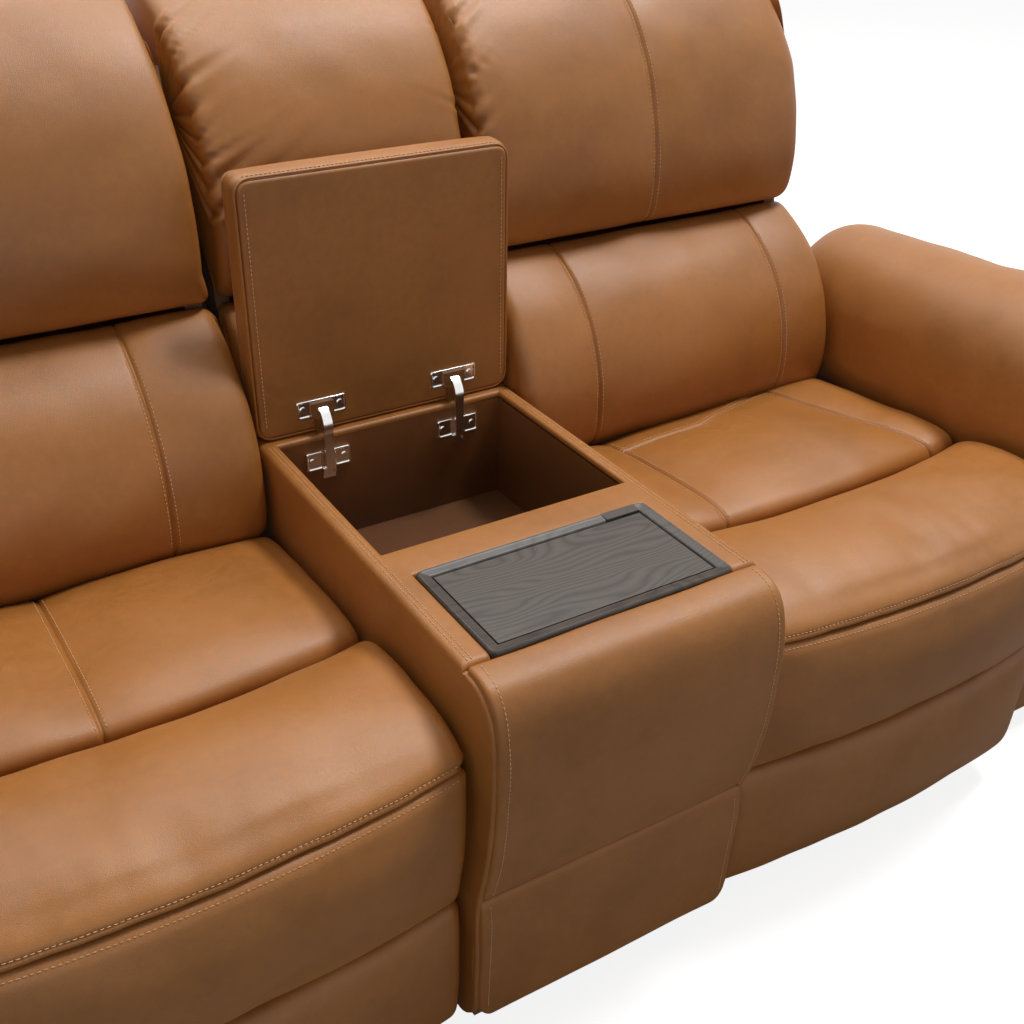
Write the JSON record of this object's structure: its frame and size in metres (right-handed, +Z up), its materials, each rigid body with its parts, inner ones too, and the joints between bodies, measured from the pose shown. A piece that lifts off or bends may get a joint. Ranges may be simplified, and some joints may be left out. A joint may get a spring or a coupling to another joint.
{
  "type": "reclining loveseat with storage console",
  "caption": "Leather loveseat with reclining backs, folding footrests and a fixed console that has a lift-up lid over a bin and an inset wood tray.",
  "frame": {"origin": "on the floor, at the middle of the sofa's outline", "axes": "+X to the viewer's right facing the sofa, +Y towards the back, +Z up"},
  "size_m": [1.9682, 1.0099, 1.0562],
  "materials": {
    "leather": "satin",
    "lining": "satin",
    "plywood": "matte",
    "walnut": "satin",
    "plated": "polished",
    "steel": "satin",
    "black": "matte"
  },
  "bodies": {
    "base": {"console_carcass": "plywood", "console_side_panels": "leather", "console_front_cover": "leather", "console_kick_panel": "leather", "console_top_cover": "leather", "bin_liner": "lining", "tray_frame": "walnut", "tray_panel": "walnut", "tray_end_block": "walnut", "hinge_wall_plates": "plated", "hinge_arms": "plated", "wall_plate_screws": "plated", "center_back_frame": "plywood", "center_lower_pad": "leather", "center_headrest": "leather", "center_back_shell": "leather", "rear_rail": "plywood", "feet": "black", "recliner_side_plates": "steel", "seat_springs": "steel", "arm_outer_panels": "leather", "arm_front_panels": "leather", "arm_frames": "plywood", "left_arm_pad": "leather", "right_arm_pad": "leather", "left_seat_frame": "plywood", "left_seat_cushion": "leather", "left_bolster": "leather", "right_seat_frame": "plywood", "right_seat_cushion": "leather", "right_bolster": "leather"},
    "lid": {"lid_board": "plywood", "lid_cover": "leather", "lid_liner": "lining", "lid_hinge_cups": "plated", "lid_hinge_fasteners": "plated"},
    "left_back": {"left_back_frame": "plywood", "left_lumbar": "leather", "left_headrest": "leather", "left_back_shell": "leather"},
    "left_drive": {"left_drive_links": "steel", "left_lever": "black"},
    "left_second_links": {"left_second_links": "steel"},
    "left_third_links": {"left_third_links": "steel"},
    "left_fourth_links": {"left_fourth_links": "steel"},
    "left_footrest": {"left_footrest_board": "plywood", "left_footrest_upper_pad": "leather", "left_footrest_lower_pad": "leather"},
    "right_back": {"right_back_frame": "plywood", "right_lumbar": "leather", "right_headrest": "leather", "right_back_shell": "leather"},
    "right_drive": {"right_drive_links": "steel", "right_lever": "black"},
    "right_second_links": {"right_second_links": "steel"},
    "right_third_links": {"right_third_links": "steel"},
    "right_fourth_links": {"right_fourth_links": "steel"},
    "right_footrest": {"right_footrest_board": "plywood", "right_footrest_upper_pad": "leather", "right_footrest_lower_pad": "leather"}
  },
  "joints": [
    {"name": "lid_hinge", "type": "hinge", "parent": "base", "child": "lid", "pos_m": [0, 0.08, 0.551], "axis": [1, 0, 0], "range_deg": [0, 90]},
    {"name": "left_recline", "type": "hinge", "parent": "base", "child": "left_back", "pos_m": [-0.466, 0.15654, 0.35196], "axis": [-1, 0, 0], "range_deg": [0, 35]},
    {"name": "left_lever", "type": "hinge", "parent": "base", "child": "left_drive", "pos_m": [-0.466, -0.29731, 0.318], "axis": [-1, 0, 0], "range_deg": [0, 65]},
    {"name": "left_second_pivot", "type": "hinge", "parent": "left_drive", "child": "left_second_links", "pos_m": [-0.466, -0.31868, 0.22543], "axis": [-1, 0, 0], "range_deg": [-130, 0]},
    {"name": "left_third_pivot", "type": "hinge", "parent": "left_second_links", "child": "left_third_links", "pos_m": [-0.466, -0.33026, 0.31973], "axis": [-1, 0, 0], "range_deg": [0, 130]},
    {"name": "left_fourth_pivot", "type": "hinge", "parent": "left_third_links", "child": "left_fourth_links", "pos_m": [-0.466, -0.35163, 0.22716], "axis": [-1, 0, 0], "range_deg": [-130, 0]},
    {"name": "left_footrest_pivot", "type": "hinge", "parent": "left_fourth_links", "child": "left_footrest", "pos_m": [-0.466, -0.36321, 0.32145], "axis": [-1, 0, 0], "range_deg": [0, 155]},
    {"name": "right_recline", "type": "hinge", "parent": "base", "child": "right_back", "pos_m": [0.466, 0.15654, 0.35196], "axis": [-1, 0, 0], "range_deg": [0, 35]},
    {"name": "right_lever", "type": "hinge", "parent": "base", "child": "right_drive", "pos_m": [0.466, -0.29731, 0.318], "axis": [-1, 0, 0], "range_deg": [0, 65]},
    {"name": "right_second_pivot", "type": "hinge", "parent": "right_drive", "child": "right_second_links", "pos_m": [0.466, -0.31868, 0.22543], "axis": [-1, 0, 0], "range_deg": [-130, 0]},
    {"name": "right_third_pivot", "type": "hinge", "parent": "right_second_links", "child": "right_third_links", "pos_m": [0.466, -0.33026, 0.31973], "axis": [-1, 0, 0], "range_deg": [0, 130]},
    {"name": "right_fourth_pivot", "type": "hinge", "parent": "right_third_links", "child": "right_fourth_links", "pos_m": [0.466, -0.35163, 0.22716], "axis": [-1, 0, 0], "range_deg": [-130, 0]},
    {"name": "right_footrest_pivot", "type": "hinge", "parent": "right_fourth_links", "child": "right_footrest", "pos_m": [0.466, -0.36321, 0.32145], "axis": [-1, 0, 0], "range_deg": [0, 155]}
  ],
  "couplings": [
    {"joint": "left_second_pivot", "follows": "left_lever", "ratio": -2},
    {"joint": "left_third_pivot", "follows": "left_lever", "ratio": 2},
    {"joint": "left_fourth_pivot", "follows": "left_lever", "ratio": -2},
    {"joint": "left_footrest_pivot", "follows": "left_lever", "ratio": 2.3846},
    {"joint": "right_second_pivot", "follows": "right_lever", "ratio": -2},
    {"joint": "right_third_pivot", "follows": "right_lever", "ratio": 2},
    {"joint": "right_fourth_pivot", "follows": "right_lever", "ratio": -2},
    {"joint": "right_footrest_pivot", "follows": "right_lever", "ratio": 2.3846}
  ]
}
